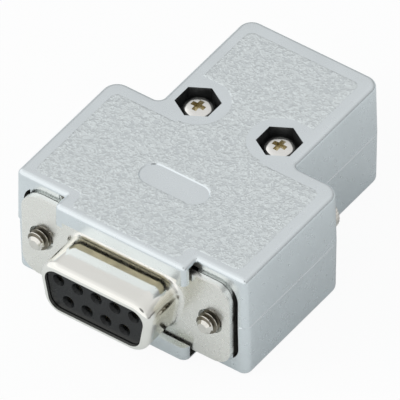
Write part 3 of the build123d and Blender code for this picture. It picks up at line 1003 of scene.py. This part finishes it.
def cross_screw(node, sizes, pitch, zinc, shadow):
    """A pan-head screw with a tapered cross recess and a threaded end, for a CAD screw."""
    low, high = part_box(node)
    (radius, height), shank, (span, width, depth) = sizes
    end, seat, top = low.z, high.z - height, high.z
    root = shank - CASE_THREAD_DEPTH * pitch
    threaded = CASE_THREADED * (seat - end)
    profile = [
        (end, root * CASE_TIP), (end + root * CASE_TIP_LENGTH, root),
        (end + threaded, root), (end + threaded, shank), (seat, shank),
    ]
    profile += [(seat + level * height, share * radius) for level, share in PAN_DOME]
    piece = turned(node + "_turned", profile)
    start = end + root * CASE_THREAD_START
    ridge = thread_ridge(node + "_thread", 0, start, threaded, pitch, shank, root)
    clean(join(piece, ridge), SMOOTH_HEAD)
    x, y = (low.x + high.x) / 2, (low.y + high.y) / 2
    stand_up(piece, x, y)
    dress(piece, "hood", "screw_steel", zinc, node)
    arm, taper = (span / 2, width / 2), CROSS_TAPER
    for (half_x, half_y), narrowed in ((arm, taper), (arm[::-1], taper[::-1])):
        tool = box_tool(
            node + "_cross", (x - half_x, y - half_y, top - depth),
            (x + half_x, y + half_y, top + depth), narrowed)
        # The recess takes a darker, browner colour: a painted shade
        tool.data.materials.append(shadow)
        cut(piece, tool, material_mode="TRANSFER")


class CONNECTOR_OT_case_screws(bpy.types.Operator):
    """Makes the case and clamp screws, the nuts, the retaining rings and the cable clamp."""

    bl_idname = "connector.case_screws"
    bl_label = "Case screws and nuts"

    def execute(self, context):
        pitch = context.scene.connector_screws.case_pitch
        colour = context.scene.connector_finish.zinc
        zinc = turned_metal("bright_zinc", colour, roughness=0.16, rings=1000)
        shadow = turned_metal("recess_shade", CROSS_SHADE, roughness=0.28, rings=1400)
        for side in SIDES:
            cross_screw("case_screw_" + side, CASE_SIZES, pitch, zinc, shadow)
            cross_screw("clamp_screw_" + side, CLAMP_SIZES, pitch, zinc, shadow)
            node = "case_nut_" + side
            nut = node_copy(node, node + "_hexagon")
            apply_modifier(nut, "BEVEL", width=NUT_BEVEL, segments=2, limit_method="ANGLE")
            dress(clean(nut, SMOOTH_NUT), "hood", "screw_steel", zinc, node)
            node = "retaining_ring_" + side
            spring = node_copy(node, node + "_spring")
            dress(spring, side + "_ring", "screw_steel", zinc, node)
        node = "cable_clamp"
        dress(node_copy(node, node + "_saddle"), "hood", "screw_steel", zinc, node)
        return {"FINISHED"}


# Stage

def camera_axes(settings):
    """Right, up and back of the camera."""
    turn, rise, roll = settings.azimuth, settings.elevation, settings.roll
    back = Vector((sin(turn) * cos(rise), -cos(turn) * cos(rise), sin(rise)))
    level = Vector((cos(turn), sin(turn), 0))
    above = back.cross(level)
    right = cos(roll) * level + sin(roll) * above
    up = -sin(roll) * level + cos(roll) * above
    return right, up, back


def add_camera(settings):
    """The camera at the photograph's angle."""
    right, up, back = camera_axes(settings)
    camera = bpy.data.objects.new("camera", bpy.data.cameras.new("camera"))
    camera.data.sensor_width = SENSOR
    camera.data.lens = settings.lens
    camera.data.clip_start = CLIP_START
    camera.data.clip_end = CLIP_END
    place = Vector(settings.target) + settings.distance * back
    turned_to = Matrix((right, up, back)).transposed().to_4x4()
    camera.matrix_world = Matrix.Translation(place) @ turned_to
    bpy.context.scene.collection.objects.link(camera)
    bpy.context.scene.camera = camera


class Sky(Patterns):
    """The studio around the object, as the world's shader."""

    def __init__(self):
        world = bpy.data.worlds.new("studio")
        bpy.context.scene.world = world
        world.use_nodes = True
        super().__init__(world.node_tree)
        self.tree.nodes.clear()
        self.direction = self.tree.nodes.new("ShaderNodeTexCoord").outputs["Generated"]

    def towards(self, direction):
        """Cosine of the angle to a direction."""
        made = self.tree.nodes.new("ShaderNodeVectorMath")
        made.operation = "DOT_PRODUCT"
        self.fill(made.inputs[0], self.direction)
        self.fill(made.inputs[1], Vector(direction).normalized())
        return made.outputs["Value"]

    def wall(self, height, stops):
        """A grey that goes by elevation, given as (degrees, grey) stops."""
        angle = self.maths("ARCSINE", height)
        fraction = self.maths("MULTIPLY_ADD", angle, 1 / pi, 0.5)
        made = self.tree.nodes.new("ShaderNodeValToRGB")
        self.fill(made.inputs[0], fraction)
        elements = made.color_ramp.elements
        while len(elements) < len(stops):
            elements.new(0.5)
        for element, (degrees, level) in zip(elements, stops):
            element.position = degrees / 180 + 0.5
            element.color = grey(level)
        return made.outputs["Color"]

    def show(self, colour):
        """Lights the scene with the colour and shows plain white to the camera."""
        camera_ray = self.tree.nodes.new("ShaderNodeLightPath").outputs["Is Camera Ray"]
        background = self.node("ShaderNodeBackground", Color=self.mix(camera_ray, colour, grey(1)))
        self.node("ShaderNodeOutputWorld", Surface=background.outputs[0])


def add_sky(settings):
    """Bright front, a dimmer back wall with a dark foot, and the dark shape of the camera."""
    sky = Sky()
    height = sky.towards((0, 0, 1))
    back = sky.wall(height, BACK_WALL)
    front = sky.wall(height, FRONT_WALL)
    facing = sky.remap(sky.towards(FRONT), *FRONT_BLEND, kind="SMOOTHSTEP")
    studio = sky.mix(facing, back, front)
    _, _, seen_from = camera_axes(settings)
    lens_shape = sky.remap(
        sky.towards(seen_from), cos(radians(LENS_EDGE)), cos(radians(LENS_FULL)), kind="SMOOTHSTEP")
    sky.show(sky.mix(lens_shape, studio, grey(LENS_GREY)))


def add_floor():
    """A plain white floor that keeps the object's shadow."""
    deselect()
    bpy.ops.mesh.primitive_plane_add(size=FLOOR_SIZE, location=(0, 0, BASE_LOW.z))
    floor = apply_place(added("floor"))
    material = bpy.data.materials.new("white_floor")
    material.use_nodes = True
    patterns = Patterns(material.node_tree)
    patterns.tree.nodes.clear()
    rays = patterns.tree.nodes.new("ShaderNodeLightPath").outputs
    white = 0
    for ray, share in FLOOR_GLOW.items():
        white = patterns.maths("MULTIPLY_ADD", rays[ray], share, white)
    lit = patterns.node("ShaderNodeBsdfDiffuse", Color=FLOOR_COLOUR)
    glow = patterns.node("ShaderNodeEmission", Color=grey(1))
    mix = patterns.tree.nodes.new("ShaderNodeMixShader")
    for socket, value in zip(mix.inputs, (white, lit.outputs[0], glow.outputs[0])):
        patterns.fill(socket, value)
    patterns.node("ShaderNodeOutputMaterial", Surface=mix.outputs[0])
    floor.data.materials.append(material)


def add_key():
    """A soft square lamp that faces the object, left out of its reflections."""
    lamp = bpy.data.objects.new("key", bpy.data.lights.new("key", "AREA"))
    lamp.data.size = KEY_SIZE
    lamp.data.energy = KEY_POWER
    lamp.location = KEY_PLACE
    facing = Vector(KEY_TARGET) - Vector(KEY_PLACE)
    lamp.rotation_euler = facing.to_track_quat("-Z", "Y").to_euler()
    lamp.visible_glossy = False
    bpy.context.scene.collection.objects.link(lamp)


class CONNECTOR_OT_stage(bpy.types.Operator):
    """Sets the floor, the light and the camera."""

    bl_idname = "connector.stage"
    bl_label = "Stage"

    def execute(self, context):
        settings = context.scene.connector_stage
        add_camera(settings)
        add_sky(settings)
        add_floor()
        add_key()
        bpy.context.scene.view_settings.view_transform = "Standard"
        return {"FINISHED"}


class CONNECTOR_PT_panel(bpy.types.Panel):
    """Lists the connector's pieces and its stage."""

    bl_label = "Connector"
    bl_idname = "CONNECTOR_PT_panel"
    bl_space_type = "VIEW_3D"
    bl_region_type = "UI"
    bl_category = "Connector"

    def draw(self, context):
        for group in GROUPS:
            settings = getattr(context.scene, group)
            box = self.layout.box()
            for key in settings.__annotations__:
                box.prop(settings, key)
        for operator in OPERATORS:
            self.layout.operator(operator.bl_idname)


GROUPS = {
    "connector_casting": CastingSettings,
    "connector_screws": ScrewSettings,
    "connector_finish": FinishSettings,
    "connector_stage": StageSettings,
}
OPERATORS = (
    CONNECTOR_OT_castings, CONNECTOR_OT_shells, CONNECTOR_OT_insulators,
    CONNECTOR_OT_jack_screws, CONNECTOR_OT_case_screws, CONNECTOR_OT_stage,
)
CLASSES = (*GROUPS.values(), *OPERATORS, CONNECTOR_PT_panel)


def register():
    for made in CLASSES:
        bpy.utils.register_class(made)
    for name, group in GROUPS.items():
        setattr(bpy.types.Scene, name, bpy.props.PointerProperty(type=group))


def unregister():
    for name in GROUPS:
        delattr(bpy.types.Scene, name)
    for made in reversed(CLASSES):
        bpy.utils.unregister_class(made)


def main():
    """Registers the classes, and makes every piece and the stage."""
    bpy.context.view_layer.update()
    register()
    bpy.ops.connector.castings()
    bpy.ops.connector.shells()
    bpy.ops.connector.insulators()
    bpy.ops.connector.jack_screws()
    bpy.ops.connector.case_screws()
    bpy.ops.connector.stage()


if __name__ == "__main__":
    main()
